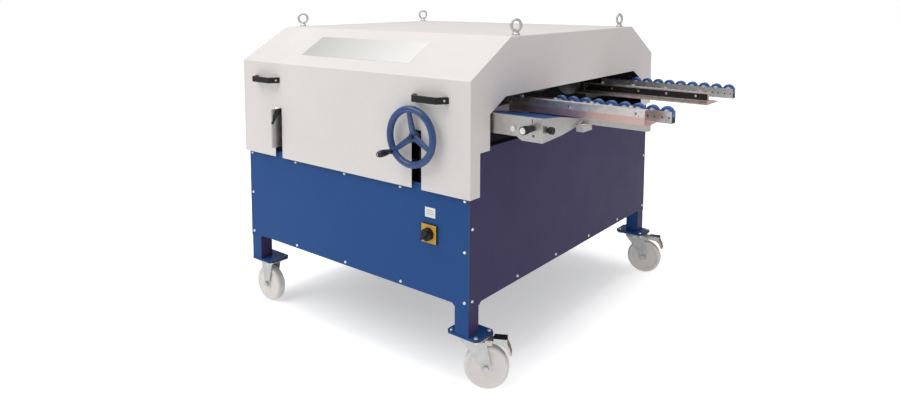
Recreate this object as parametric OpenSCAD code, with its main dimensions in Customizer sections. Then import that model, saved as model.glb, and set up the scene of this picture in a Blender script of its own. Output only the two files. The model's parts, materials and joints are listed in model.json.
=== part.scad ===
// Roll-forming machine on casters: a lower cabinet on a tube frame, a hinged hood over the
// roll stands, and two skate-wheel guide rails that feed sheet in at the +X end.
// Sizes are worked out in machine coordinates, with zero at the hood's front left corner
// at floor level: X along the front, Y from front to rear, Z up. The whole part is then
// shifted so that its origin is at the bottom centre of its bounding box.

/* [Hood] */
// Length of the hood along the front
hood_l = 1250; // [1200:10:1600]
// Depth of the hood from front to rear
hood_d = 1520; // [1480:10:1900]
// Height of the front skirt's lower edge above the floor
skirt_z = 698; // [680:1:700]
// Height of the lower edge of the end faces and the rear face
hood_z = 851; // [845:1:870]
// Height of the shoulders where the chamfers start
shoulder_z = 1104; // [1090:1:1160]
// Height of the flat top
top_z = 1242; // [1220:1:1300]
// Depth of each chamfer, measured along Y
chamfer_d = 243; // [180:1:280]
// Sheet thickness of the hood
hood_t = 1.5; // [1:0.5:2.5]
// Width of the end face's front foot, below the step
foot_w = 57; // [50:1:65]
// Distance of the end cut-out from the front and rear faces
cutout_inset = 115; // [100:1:120]
// Height of the end cut-out's top edge
cutout_z = 1030; // [1028:1:1050]
// Width of the two slots in the front face
slot_w = 46; // [42:1:50]
// Distance of each slot's centre from the hood's ends
slot_inset = 238; // [230:1:245]
// Height of the slots' top edge
slot_z = 912; // [908:1:930]

/* [Cabinet] */
// Distance of the cabinet's panels inside the hood's faces
cabinet_inset = 14; // [12:1:18]
// Width of the square frame tubes
tube_w = 60; // [50:1:65]
// Wall thickness of the frame tubes
tube_t = 4; // [2:0.5:5]
// Sheet thickness of the panels
panel_t = 2; // [1:0.5:3]
// Height of the frame's underside, on top of the casters
frame_z = 205; // [200:1:210]
// Height of the panels' lower edge
panel_z = 314; // [300:1:320]
// Height of the front panel's upper edge
front_panel_top = 718; // [710:1:722]
// Diameter of the panel screws' heads
screw_d = 12; // [8:1:14]

/* [Casters] */
// Diameter of the caster wheels
wheel_d = 160; // [150:1:165]
// Width of the caster wheels
wheel_w = 40; // [32:1:44]
// Trail of the swivel casters
trail = 58; // [50:1:60]
// Angle of the front swivel caster about its kingpin, degrees
front_caster_turn = 30; // [0:1:45]
// Angle of the rear swivel caster about its kingpin, degrees
rear_caster_turn = 12; // [0:1:45]

/* [Guide rails] */
// Diameter of the skate wheels
skate_d = 48; // [44:1:50]
// Width of a skate wheel
skate_w = 24; // [20:1:26]
// Distance between skate wheel axles
skate_pitch = 52; // [51:1:60]
// Number of skate wheels on each rail
skate_n = 9; // [9:1:9]
// Height of the top of the skate wheels, where the sheet runs
pass_z = 1005; // [1000:1:1010]
// First skate wheel of the near rail, beyond the hood's end
near_start = 50; // [40:1:70]
// First skate wheel of the far rail, beyond the hood's end
far_start = 30; // [28:1:70]
// Distance of the near rail's wheels from the hood's front
near_rail_y = 520; // [500:1:560]
// Distance of the far rail's wheels from the hood's front
far_rail_y = 1275; // [1200:1:1290]
// Front face of the near guide plate
near_guide_y = 405; // [395:1:420]
// Front edge of the far guide plate's ledge
far_guide_y = 1000; // [980:1:1020]

/* [Drive and controls] */
// Diameter of the handwheel
handwheel_d = 225; // [200:5:230]
// Diameter of the lead screw
lead_screw_d = 24; // [20:1:26]
// Number of roll stations
stations = 5; // [3:1:5]
// Diameter of the forming rolls
roll_d = 110; // [90:1:112]

/* [Hidden] */

$fn = 48;
eps = 0.01;

// Running fit of a shaft in a bore, and the gap kept where curved faces would touch
run_gap = 0.05;
clear = 0.3;

// Gap between pieces of one unit that are bolted face to face
joint_gap = 0.02;

// Caster heights: plate, kingpin head and fork
mount_plate_t = 8;
caster_plate_t = 4;
plate_l = 140;
plate_w = 110;
plate_holes_x = 105;
plate_holes_y = 80;
plate_cut = 14;
plate_under_z = frame_z - mount_plate_t;
caster_top_z = plate_under_z - caster_plate_t;
axle_z = wheel_d / 2;
axle_r = 6;
hub_gap = 2;
fork_t = 3;
fork_end = 18;
fork_y = wheel_w / 2 + hub_gap;
fork_top_z = caster_top_z - 10;

// Cabinet faces
body_x0 = cabinet_inset;
body_x1 = hood_l - cabinet_inset;
body_y0 = cabinet_inset;
body_y1 = hood_d - cabinet_inset;
leg_x0 = body_x0 + panel_t;
leg_x1 = body_x1 - panel_t;
leg_y0 = body_y0 + panel_t;
leg_y1 = body_y1 - panel_t;
frame_top = hood_z + 1;
end_panel_top = frame_top + 8;
front_beam_z = front_panel_top - 18 - tube_w;
bottom_beam_z = panel_z + 8;
ear = 10;

// Caster centres, the left pair set in a little and the right pair under the legs
left_plate_x = body_x0 + plate_l / 2 - 10;
right_plate_x = leg_x1 - tube_w / 2;
front_plate_y = leg_y0 - panel_t + plate_w / 2;
rear_plate_y = leg_y1 - plate_w / 2 + 12;

// Machine bed
beam_x = [300, leg_x1 - tube_w - 194];
bed_z = front_beam_z + tube_w;
rod_r = 20;
rod_z = bed_z + 70;
rod_y0 = 120;
rod_block = 20;
rod_y1 = leg_y1 - tube_w;
screw_x = hood_l - slot_inset;
screw_r = lead_screw_d / 2;
collar_r = 20;
screw_axis_z = slot_z - collar_r - 2;

// Hood hinge
pin_r = 5;
barrel_r = 8;
hinge_y = hood_d + barrel_r;
hinge_z = hood_z - 5;
hinge_l = 100;
hinge_x = [hood_l / 5, hood_l * 4 / 5];
leaf_t = 3;

// Roll stands
near_stand_y = 330;
far_stand_y = far_rail_y + 55;
stand_t = 20;
stand_x0 = 170;
stand_x1 = hood_l - 200;
station_pitch = (stand_x1 - stand_x0 - 200) / (stations - 1);
sheet_gap = 1;
roll_z0 = pass_z - roll_d / 2;
roll_z1 = pass_z + roll_d / 2 + sheet_gap;
shaft_r = 17.5;
roll_w = 80;
stand_top = roll_z1 + 60;

// Guide rails
rail_wall = 3;
rail_in = skate_w + 4;
rail_w = rail_in + 2 * rail_wall;
rail_x0 = hood_l - 140;
skate_axle_r = 4;
skate_z = pass_z - skate_d / 2;
rail_z0 = skate_z - 35;
rail_top = skate_z + 7;
near_last = hood_l + near_start + (skate_n - 1) * skate_pitch;
far_last = hood_l + far_start + (skate_n - 1) * skate_pitch;
rail_over = 22;
guide_z = pass_z - 57;
guide_t = 2.5;
near_guide_top = pass_z - 5;
far_guide_top = pass_z - 22;
guide_slot_z = pass_z - 31;
guide_x0 = hood_l - 150;
near_guide_x1 = near_last - 35;
far_guide_x1 = far_last - 1;
far_face_y = far_guide_y + 95;
nut_pitch = 147;
guide_slot_pitch = 256;
bar_w = 22;
bar_h = 20;

// Bracket that carries the near guide
bracket_y = 128;
bracket_x1 = hood_l + 200;
bracket_t = 4;
bracket_top = cutout_z - 47;
bracket_l = 270;
bracket_foot = bracket_top - 83;
bracket_low = bracket_top - 71;

// Handwheel
rim_r = 11;
rim_y = -29;
wheel_hub_r = 17;
spoke_n = 3;
grip_angle = 216;
grip_r = handwheel_d / 2 - rim_r;
grip_l = 76;

// Bounding box, for the origin
box_x0 = min(0, left_plate_x - wheel_d / 2);
box_x1 = near_last + max(rail_over, skate_d / 2);
box_y0 = rim_y - rim_r - grip_l - 1;
box_y1 = hinge_y + barrel_r;

module place() {
    translate([-(box_x0 + box_x1) / 2, -(box_y0 + box_y1) / 2, 0])
        children();
}

module bar(from, to) {
    translate(from)
        cube(to - from);
}

// A cylinder along X or Y that starts at a point
module x_rod(at, r, l) {
    translate(at)
        rotate([0, 90, 0])
            cylinder(r = r, h = l);
}

module y_rod(at, r, l) {
    translate(at)
        rotate([-90, 0, 0])
            cylinder(r = r, h = l);
}

module hex_head(af, h) {
    cylinder(d = af / cos(30), h = h, $fn = 6);
}

// Hollow square tube between two opposite corners, running along the axis numbered 0, 1 or 2
module tube(from, to, axis) {
    wall = [for (i = [0:2]) i == axis ? -eps : tube_t];
    difference() {
        bar(from, to);
        bar(from + wall, to - wall);
    }
}

/* ---- cabinet ---- */

// Plate with cut corners, which lets the brake pedal swing past them
module plate_blank(t) {
    a = plate_l / 2;
    b = plate_w / 2;
    c = plate_cut;
    linear_extrude(t)
        polygon([
            [c - a, -b], [a - c, -b], [a, c - b], [a, b - c],
            [a - c, b], [c - a, b], [-a, b - c], [-a, c - b]
        ]);
}

module mount_plate(x, y) {
    difference() {
        translate([x, y, plate_under_z])
            plate_blank(mount_plate_t);
        plate_hole_places(x, y)
            translate([0, 0, plate_under_z - 1])
                cylinder(r = 4.5, h = mount_plate_t + 2);
    }
}

module plate_hole_places(x, y) {
    for (i = [-1, 1])
        for (j = [-1, 1])
            translate([x + i * plate_holes_x / 2, y + j * plate_holes_y / 2, 0])
                children();
}

function caster_x(side) = side < 0 ? left_plate_x : right_plate_x;
function caster_y(end) = end < 0 ? front_plate_y : rear_plate_y;

module base_frame() {
    color("steelblue") {
        for (x = [leg_x0, leg_x1 - tube_w])
            for (y = [leg_y0, leg_y1 - tube_w])
                tube([x, y, frame_z], [x + tube_w, y + tube_w, frame_top], 2);
        for (i = [-1, 1])
            for (j = [-1, 1])
                mount_plate(caster_x(i), caster_y(j));
        for (x = [leg_x0, leg_x1 - tube_w])
            for (z = [bottom_beam_z, frame_top - tube_w])
                tube([x, leg_y0 + tube_w, z], [x + tube_w, leg_y1 - tube_w, z + tube_w], 1);
        for (z = [bottom_beam_z, front_beam_z])
            tube([leg_x0 + tube_w, leg_y0, z], [leg_x1 - tube_w, leg_y0 + tube_w, z + tube_w], 0);
        for (z = [bottom_beam_z, front_beam_z, frame_top - tube_w])
            tube([leg_x0 + tube_w, leg_y1 - tube_w, z], [leg_x1 - tube_w, leg_y1, z + tube_w], 0);
        for (x = beam_x)
            tube([x, leg_y0 + tube_w, front_beam_z], [x + tube_w, leg_y1 - tube_w, bed_z], 1);
    }
}

// Panel outline: a rectangle with small ears that run down over the legs at both ends
module panel_outline(l, h) {
    polygon([
        [0, -ear], [tube_w + panel_t, -ear], [tube_w + panel_t + ear, 0],
        [l - tube_w - panel_t - ear, 0], [l - tube_w - panel_t, -ear], [l, -ear],
        [l, h], [0, h]
    ]);
}

module front_panel() {
    color("royalblue")
        difference() {
            translate([body_x0, body_y0 + panel_t, panel_z])
                rotate([90, 0, 0])
                    linear_extrude(panel_t)
                        panel_outline(body_x1 - body_x0, front_panel_top - panel_z);
            y_rod([switch_x, body_y0 - 1, switch_z], switch_neck_r + clear, panel_t + 2);
        }
}

module rear_panel() {
    color("royalblue")
        translate([body_x0, body_y1, panel_z])
            rotate([90, 0, 0])
                linear_extrude(panel_t)
                    panel_outline(body_x1 - body_x0, frame_top - panel_z);
}

module end_panels() {
    color("slateblue")
        for (x = [body_x0, body_x1 - panel_t])
            translate([x, leg_y0, panel_z])
                rotate([90, 0, 90])
                    linear_extrude(panel_t)
                        panel_outline(leg_y1 - leg_y0, end_panel_top - panel_z);
}

/* ---- fasteners ---- */

screw_edge = 18;
front_cols = 5;
end_cols = 6;
front_rows = [panel_z + 13, panel_z + 373, panel_z + 193];
end_rows = [panel_z + 17, panel_z + 274, panel_z + 531];

// Evenly spaced places from one end of a row to the other
function spread(a, b, n, i) = a + (b - a) * i / (n - 1);

module screw_head() {
    difference() {
        cylinder(d1 = screw_d, d2 = screw_d * 0.7, h = 3);
        translate([0, 0, 1.5])
            hex_head(4, 3);
    }
}

// Rows of screws: the first few rows are full, the others have only the two end screws
module screw_grid(l, cols, rows, full) {
    for (i = [0:cols - 1])
        for (j = [0:len(rows) - 1])
            if (i == 0 || i == cols - 1 || j < full)
                translate([spread(screw_edge, l - screw_edge, cols, i), 0, rows[j]])
                    children();
}

module fasteners() {
    color("silver") {
        translate([body_x0, body_y0, 0])
            screw_grid(body_x1 - body_x0, front_cols, front_rows, 2)
                rotate([90, 0, 0])
                    screw_head();
        translate([body_x1, body_y1, 0])
            rotate([0, 0, 180])
                screw_grid(body_x1 - body_x0, front_cols, front_rows, 2)
                    rotate([90, 0, 0])
                        screw_head();
        translate([body_x1, leg_y0, 0])
            rotate([0, 0, 90])
                screw_grid(leg_y1 - leg_y0, end_cols, end_rows, 1)
                    rotate([90, 0, 0])
                        screw_head();
        translate([body_x0, leg_y1, 0])
            rotate([0, 0, -90])
                screw_grid(leg_y1 - leg_y0, end_cols, end_rows, 1)
                    rotate([90, 0, 0])
                        screw_head();
        for (j = [-1, 1]) {
            plate_hole_places(left_plate_x, caster_y(j))
                caster_bolt();
            plate_hole_places(right_plate_x, caster_y(j)) {
                caster_bolt();
                translate([0, 0, frame_z])
                    cylinder(d1 = 15, d2 = 11, h = 5);
                translate([0, 0, frame_z - 2])
                    cylinder(r = 4, h = 3);
            }
        }
    }
}

// Hex nut below the caster's plate and a shank up to just under the mounting plate's upper face
module caster_bolt() {
    translate([0, 0, caster_top_z - 6])
        hex_head(13, 6);
    translate([0, 0, caster_top_z - 1])
        cylinder(r = 4, h = frame_z - caster_top_z + 0.5);
}

/* ---- casters ---- */

module caster_plate(x, y) {
    difference() {
        translate([x, y, caster_top_z])
            plate_blank(caster_plate_t);
        plate_hole_places(x, y)
            translate([0, 0, caster_top_z - 1])
                cylinder(r = 4.5, h = caster_plate_t + 2);
    }
}

// One leg of a fork: it narrows from a wide root down to a square end with cut corners
module fork_leg(root0, root1, root_z, axle_x, y) {
    translate([0, y + fork_t, 0])
        rotate([90, 0, 0])
            linear_extrude(fork_t)
                polygon([
                    [root0, root_z], [root1, root_z], [axle_x + fork_end, axle_z + 14],
                    [axle_x + fork_end, axle_z - 11], [axle_x + fork_end - 5, axle_z - 16],
                    [axle_x - fork_end + 5, axle_z - 16], [axle_x - fork_end, axle_z - 11],
                    [axle_x - fork_end, axle_z + 14]
                ]);
}

// Axle with a nut at each end, held in the fork
module fork_axle(axle_x) {
    y_rod([axle_x, -fork_y - fork_t - 8, axle_z], axle_r, 2 * (fork_y + fork_t + 8));
    for (y = [-fork_y - fork_t - 8, fork_y + fork_t])
        translate([axle_x, y, axle_z])
            rotate([-90, 0, 0])
                hex_head(19, 8);
}

module fixed_caster_forks() {
    color("lightgrey")
        for (j = [-1, 1]) {
            caster_plate(left_plate_x, caster_y(j));
            translate([left_plate_x, caster_y(j), 0]) {
                for (y = [-fork_y - fork_t, fork_y])
                    fork_leg(-42, 42, caster_top_z, 0, y);
                fork_axle(0);
            }
        }
}

module swivel_caster_heads() {
    color("lightgrey")
        for (j = [-1, 1]) {
            caster_plate(right_plate_x, caster_y(j));
            translate([right_plate_x, caster_y(j), 0]) {
                translate([0, 0, fork_top_z + 0.5])
                    cylinder(r = 34, h = caster_top_z - fork_top_z - 0.5);
                translate([0, 0, fork_top_z - 11])
                    cylinder(r = 8, h = 12);
            }
        }
}

// Puts a swivelling piece on its kingpin, turned so that it trails as given
module swivel_place(end) {
    turn = end < 0 ? front_caster_turn : rear_caster_turn;
    translate([right_plate_x, caster_y(end), 0])
        rotate([0, 0, turn])
            children();
}

module swivel_fork() {
    color("gainsboro") {
        difference() {
            translate([0, 0, fork_top_z - 8])
                cylinder(r = 36, h = 8);
            translate([0, 0, fork_top_z - 9])
                cylinder(r = 8 + run_gap, h = 10);
        }
        difference() {
            bar([-30, -fork_y - fork_t, fork_top_z - 11],
                [pedal_pin_x - 10, fork_y + fork_t, fork_top_z - 8]);
            translate([0, 0, fork_top_z - 12])
                cylinder(r = 8 + run_gap, h = 5);
        }
        for (y = [-fork_y - fork_t, fork_y])
            difference() {
                union() {
                    fork_leg(-30, pedal_pin_x - 10, fork_top_z - 8, trail, y);
                    bar([pedal_pin_x - 16, y, fork_top_z - 18], [pedal_pin_x + 10, y + fork_t, fork_top_z]);
                }
                y_rod([pedal_pin_x, y - 1, pedal_pin_z], pedal_pin_r + run_gap, fork_t + 2);
            }
        fork_axle(trail);
    }
}

module swivel_fork_front() {
    swivel_place(-1)
        swivel_fork();
}

module swivel_fork_rear() {
    swivel_place(1)
        swivel_fork();
}

// Brake pedal on a cross pin between the fork's ears: a lever that falls to a tip, with a pad on it
pedal_pin_x = 70;
pedal_pin_z = fork_top_z - 7;
pedal_pin_r = 4.5;
pedal_w = 2 * fork_y - 4;

module brake_pedal() {
    color("dimgray") {
        y_rod([pedal_pin_x, -fork_y - fork_t - 1, pedal_pin_z], pedal_pin_r, 2 * (fork_y + fork_t + 1));
        translate([pedal_pin_x, pedal_w / 2, pedal_pin_z])
            rotate([90, 0, 0])
                linear_extrude(pedal_w)
                    polygon([
                        [-6, -5], [12, -5], [46, -9], [62, -24], [70, -46], [77, -44],
                        [71, -20], [62, -3], [62, 13], [14, 13], [14, 4], [-6, 5]
                    ]);
        translate([pedal_pin_x + 57, 0, pedal_pin_z + 12])
            cylinder(r = 2.5, h = 8);
    }
}

module brake_pedal_front() {
    swivel_place(-1)
        brake_pedal();
}

module brake_pedal_rear() {
    swivel_place(1)
        brake_pedal();
}

// Wheel with a raised hub and a shallow dish in each side
module caster_wheel(x) {
    color("whitesmoke")
        translate([x, 0, axle_z])
            rotate([90, 0, 0])
                rotate_extrude($fn = 72)
                    polygon([
                        [axle_r + run_gap, -fork_y + 0.4], [20, -fork_y + 0.4], [24, -wheel_w / 2 + 9],
                        [wheel_d / 2 - 20, -wheel_w / 2 + 9], [wheel_d / 2 - 15, -wheel_w / 2],
                        [wheel_d / 2 - 4, -wheel_w / 2], [wheel_d / 2, -wheel_w / 2 + 5],
                        [wheel_d / 2, wheel_w / 2 - 5], [wheel_d / 2 - 4, wheel_w / 2],
                        [wheel_d / 2 - 15, wheel_w / 2], [wheel_d / 2 - 20, wheel_w / 2 - 9],
                        [24, wheel_w / 2 - 9], [20, fork_y - 0.4], [axle_r + run_gap, fork_y - 0.4]
                    ]);
}

module caster_wheel_front_left() {
    translate([left_plate_x, front_plate_y, 0])
        caster_wheel(0);
}

module caster_wheel_rear_left() {
    translate([left_plate_x, rear_plate_y, 0])
        caster_wheel(0);
}

module caster_wheel_front_right() {
    swivel_place(-1)
        caster_wheel(trail);
}

module caster_wheel_rear_right() {
    swivel_place(1)
        caster_wheel(trail);
}

/* ---- main switch ---- */

switch_x = hood_l - 186;
switch_z = front_panel_top - 176;
switch_plate = 68;
switch_neck_r = 11;

module main_switch() {
    color("gold")
        difference() {
            union() {
                translate([switch_x - switch_plate / 2, body_y0 - 8, switch_z - switch_plate / 2])
                    cube([switch_plate, 8, switch_plate]);
                y_rod([switch_x, body_y0 - eps, switch_z], switch_neck_r, panel_t + 0.4);
                translate([switch_x - 26, body_y0 + panel_t, switch_z - 26])
                    cube([52, 48, 52]);
            }
            y_rod([switch_x, body_y0 - 9, switch_z], 5 + run_gap, 30);
        }
}

module switch_knob() {
    color("black") {
        y_rod([switch_x, body_y0 - 10.3 - 14, switch_z], 23, 16);
        translate([switch_x, body_y0 - 24, switch_z])
            rotate([0, 45, 0])
                translate([-5, -14, -22])
                    cube([10, 15, 44]);
        y_rod([switch_x, body_y0 - 9, switch_z], 5, 28);
    }
}

/* ---- hood ---- */

// Side view of the hood, with Y along the page and Z up, set in by a given amount
module hood_side(set) {
    slope = atan((top_z - shoulder_z) / chamfer_d);
    drop = set * (1 / cos(slope) - tan(slope));
    polygon([
        [set, 0], [hood_d - set, 0], [hood_d - set, shoulder_z - drop],
        [hood_d - chamfer_d - set * tan(slope / 2), top_z - set],
        [chamfer_d + set * tan(slope / 2), top_z - set], [set, shoulder_z - drop]
    ]);
}

module hood_block(set) {
    translate([set, 0, 0])
        rotate([90, 0, 90])
            linear_extrude(hood_l - 2 * set)
                hood_side(set);
}

// Opening in both end faces, seen from the end
module cutout_outline() {
    corner = cutout_inset + 97;
    polygon([
        [cutout_inset, hood_z - 1], [cutout_inset, cutout_z - 52], [corner, cutout_z],
        [hood_d - corner, cutout_z], [hood_d - cutout_inset, cutout_z - 52],
        [hood_d - cutout_inset, hood_z - 1]
    ]);
}

module hood_shell() {
    color("lightgray")
        difference() {
            hood_block(0);
            hood_block(hood_t);
            bar([-1, -1, -1], [hood_l + 1, hood_d + 1, skirt_z]);
            bar([-1, foot_w, -1], [hood_l + 1, hood_d + 1, hood_z]);
            translate([-1, 0, 0])
                rotate([90, 0, 90])
                    linear_extrude(hood_l + 2)
                        cutout_outline();
            for (x = [slot_inset, hood_l - slot_inset])
                bar([x - slot_w / 2, -1, skirt_z - 1], [x + slot_w / 2, hood_t + 1, slot_z]);
            for (x = eye_x)
                for (y = eye_y)
                    translate([x, y, top_z - hood_t - 1])
                        cylinder(r = 6 + clear, h = hood_t + 2);
        }
}

// Bridge handles on the front face
handle_inset = 172;
handle_z = shoulder_z - 74;
handle_l = 164;
handle_bar_l = 110;
handle_h = 24;
handle_off = 40;
handle_t = 10;

module bridge_handle() {
    translate([0, 0, -handle_h / 2])
        linear_extrude(handle_h)
            difference() {
                polygon([
                    [-handle_l / 2, 0], [-handle_bar_l / 2, -handle_off],
                    [handle_bar_l / 2, -handle_off], [handle_l / 2, 0]
                ]);
                polygon([
                    [20 - handle_l / 2, 1], [20 - handle_l / 2, -5],
                    [7 - handle_bar_l / 2, handle_t - handle_off], [handle_bar_l / 2 - 7, handle_t - handle_off],
                    [handle_l / 2 - 20, -5], [handle_l / 2 - 20, 1]
                ]);
            }
}

module hood_handles() {
    color("black")
        for (x = [handle_inset, hood_l - handle_inset])
            translate([x, 0, handle_z])
                bridge_handle();
}

// Lifting eyes with M12 shanks, nutted under the hood's top
eye_x = [30, hood_l - 30];
eye_y = [320, hood_d - 320];
eye_turn = [[52, 59], [66, 83]];
eye_r = 15;
eye_wire = 6;
eye_up = 36;

module lifting_eye() {
    difference() {
        union() {
            translate([0, 0, eye_up])
                rotate([90, 0, 0])
                    rotate_extrude($fn = 48)
                        translate([eye_r + eye_wire, 0])
                            circle(r = eye_wire, $fn = 24);
            translate([0, 0, 6])
                cylinder(r1 = 13, r2 = 8, h = 12);
        }
        translate([0, 0, eye_up])
            rotate([90, 0, 0])
                cylinder(r = eye_r + 0.6, h = 40, center = true);
    }
    cylinder(r = 15, h = 6);
    translate([0, 0, -hood_t - 18])
        cylinder(r = 6, h = 18 + hood_t + eps);
    translate([0, 0, -hood_t - 10])
        difference() {
            hex_head(19, 10);
            translate([0, 0, -1])
                cylinder(r = 6, h = 12);
        }
}

module lifting_eyes() {
    color("silver")
        for (i = [0, 1])
            for (j = [0, 1])
                translate([eye_x[i], eye_y[j], top_z])
                    rotate([0, 0, eye_turn[i][j]])
                        lifting_eye();
}

// Plain name plate, centred on the front chamfer
plate_size = [600, 140, 1];

module name_plate() {
    slope = atan((top_z - shoulder_z) / chamfer_d);
    color("gainsboro")
        translate([hood_l / 2, chamfer_d / 2, (top_z + shoulder_z) / 2])
            rotate([slope, 0, 0])
                translate([-plate_size[0] / 2, -plate_size[1] / 2, 2 * eps])
                    cube(plate_size);
}

// Rear hinges: the hood's strap has the middle knuckle, the frame's leaf the outer two
knuckle = hinge_l / 3;
strap_w = knuckle - 1;
strap_top = hood_z + 45;

module hinge_straps() {
    color("silver")
        for (x = hinge_x) {
            difference() {
                union() {
                    x_rod([x - strap_w / 2, hinge_y, hinge_z], barrel_r, strap_w);
                    bar([x - strap_w / 2, hood_d, hinge_z], [x + strap_w / 2, hood_d + leaf_t, strap_top]);
                }
                x_rod([x - knuckle, hinge_y, hinge_z], pin_r + run_gap, 2 * knuckle);
            }
            bar([x - hinge_l / 2, hood_d, hood_z + 12], [x - strap_w / 2, hood_d + leaf_t, strap_top]);
            bar([x + strap_w / 2, hood_d, hood_z + 12], [x + hinge_l / 2, hood_d + leaf_t, strap_top]);
        }
}

module hinge_leaves() {
    color("silver")
        for (x = hinge_x) {
            for (side = [-1, 1])
                translate([x + side * knuckle, 0, 0])
                    union() {
                        x_rod([-strap_w / 2, hinge_y, hinge_z], barrel_r, strap_w);
                        bar([-strap_w / 2, body_y1, hinge_z - 14], [strap_w / 2, hinge_y, hinge_z - 7]);
                    }
            bar([x - hinge_l / 2, body_y1, hinge_z - 50], [x + hinge_l / 2, body_y1 + leaf_t, hinge_z - 7]);
            x_rod([x - hinge_l / 2, hinge_y, hinge_z], pin_r, hinge_l);
        }
}

/* ---- handwheel and lead screw ---- */

grip_x = grip_r * cos(grip_angle);
grip_z = grip_r * sin(grip_angle);

module handwheel() {
    color("royalblue")
        translate([screw_x, rim_y, screw_axis_z]) {
            difference() {
                union() {
                    rotate([90, 0, 0])
                        rotate_extrude($fn = 72)
                            translate([handwheel_d / 2 - rim_r, 0])
                                circle(r = rim_r, $fn = 32);
                    y_rod([0, -6, 0], wheel_hub_r, 22);
                    for (i = [0:spoke_n - 1])
                        rotate([0, -grip_angle - i * 360 / spoke_n, 0])
                            translate([wheel_hub_r - 3, -5, -8])
                                cube([handwheel_d / 2 - rim_r * 1.5 - wheel_hub_r + 3, 10, 16]);
                }
                y_rod([0, -7, 0], screw_r * 0.7, 24);
            }
            y_rod([grip_x, -rim_r - 1, grip_z], 12, 12);
            y_rod([grip_x, -rim_r - grip_l, grip_z], 4, grip_l);
        }
}

// Loose grip that turns on its bolt
module handwheel_grip() {
    color("black")
        translate([screw_x + grip_x, rim_y - rim_r - 1.5, screw_axis_z + grip_z])
            rotate([90, 0, 0])
                rotate_extrude()
                    polygon([
                        [4 + run_gap, 0], [9, 0], [11.5, 16], [12.5, 34], [12, 52],
                        [10, 64], [6, grip_l - 3], [4 + run_gap, grip_l - 0.5]
                    ]);
}

module lead_screw() {
    color("silver")
        translate([screw_x, 0, screw_axis_z]) {
            y_rod([0, rim_y - 6, 0], screw_r * 0.7, 22);
            y_rod([0, rim_y + 16, 0], screw_r, rod_y1 - rim_y - 16);
            difference() {
                y_rod([0, rim_y + 16 + clear, 0], collar_r, 20);
                y_rod([0, rim_y + 15, 0], screw_r - eps, 40);
            }
        }
}

module screw_bearings() {
    color("dimgray") {
        for (y = [50, rod_y1 - rod_block])
            difference() {
                bar([screw_x - 30, y, y < 100 ? bed_z : bed_z + 100],
                    [screw_x + 30, y + rod_block, screw_axis_z + 30]);
                y_rod([screw_x, y - 1, screw_axis_z], screw_r + run_gap, rod_block + 2);
            }
    }
}

/* ---- roll stands ---- */

function station_x(i) = stand_x0 + 80 + i * station_pitch;

module shaft_holes(y) {
    for (i = [0:stations - 1])
        for (z = [roll_z0, roll_z1])
            y_rod([station_x(i), y - 1, z], shaft_r + clear, stand_t + 2);
}

module near_roll_stand() {
    color("dimgray")
        difference() {
            bar([stand_x0, near_stand_y, bed_z], [stand_x1, near_stand_y + stand_t, stand_top]);
            shaft_holes(near_stand_y);
            for (x = beam_x)
                y_rod([x + tube_w / 2, near_stand_y - 1, rod_z], rod_r + clear, stand_t + 2);
            y_rod([screw_x, near_stand_y - 1, screw_axis_z], collar_r + 5, stand_t + 2);
        }
}

// One roll on its shaft: the lower roll has a groove where the upper one has a rib
module roll(at, rib, toward) {
    translate(at)
        rotate([-90 * toward, 0, 0])
            rotate_extrude($fn = 64)
                polygon([
                    [0, -50], [roll_d / 2 - 2, -50], [roll_d / 2 - 2, -32], [shaft_r, -32],
                    [shaft_r, 6], [roll_d / 2, 6], [roll_d / 2, 50], [roll_d / 2 + rib, 56],
                    [roll_d / 2 + rib, roll_w - 5], [roll_d / 2, roll_w], [shaft_r, roll_w + 6],
                    [0, roll_w + 6]
                ]);
}

module roll_set(y, toward) {
    for (i = [0:stations - 1]) {
        roll([station_x(i), y, roll_z0], -8, toward);
        roll([station_x(i), y, roll_z1], 6, toward);
    }
}

module near_rolls() {
    color("silver")
        roll_set(near_stand_y + stand_t, 1);
}

module far_rolls() {
    color("silver")
        roll_set(far_stand_y, -1);
}

module far_roll_stand() {
    arm_x0 = stand_x1 + 40;
    color("dimgray")
        difference() {
            union() {
                bar([stand_x0, far_stand_y, bed_z + 20], [stand_x1, far_stand_y + stand_t, stand_top]);
                for (x = beam_x)
                    y_rod([x + tube_w / 2, far_stand_y - 40, rod_z], rod_r + 14, 40 + stand_t);
                y_rod([screw_x, far_stand_y - 30, screw_axis_z], screw_r + 13, 30 + stand_t);
                bar([stand_x1 - eps, far_stand_y, rail_z0 - 60],
                    [arm_x0 + 60, far_stand_y + stand_t, rail_z0]);
                bar([arm_x0, far_guide_y + 20, rail_z0 - 30], [arm_x0 + 60, far_stand_y + eps, rail_z0]);
            }
            shaft_holes(far_stand_y);
            for (x = beam_x)
                y_rod([x + tube_w / 2, far_stand_y - 41, rod_z], rod_r + run_gap, 62 + stand_t);
            y_rod([screw_x, far_stand_y - 31, screw_axis_z], screw_r + run_gap, 52 + stand_t);
        }
}

// Guide rods that end against their blocks
module guide_rods() {
    rod_l = rod_y1 - rod_y0 - 2 * (rod_block + joint_gap);
    color("silver")
        for (x = beam_x) {
            for (y = [rod_y0, rod_y1 - rod_block])
                bar([x, y, bed_z], [x + tube_w, y + rod_block, bed_z + 100]);
            y_rod([x + tube_w / 2, rod_y0 + rod_block + joint_gap, rod_z], rod_r, rod_l);
        }
}

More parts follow.
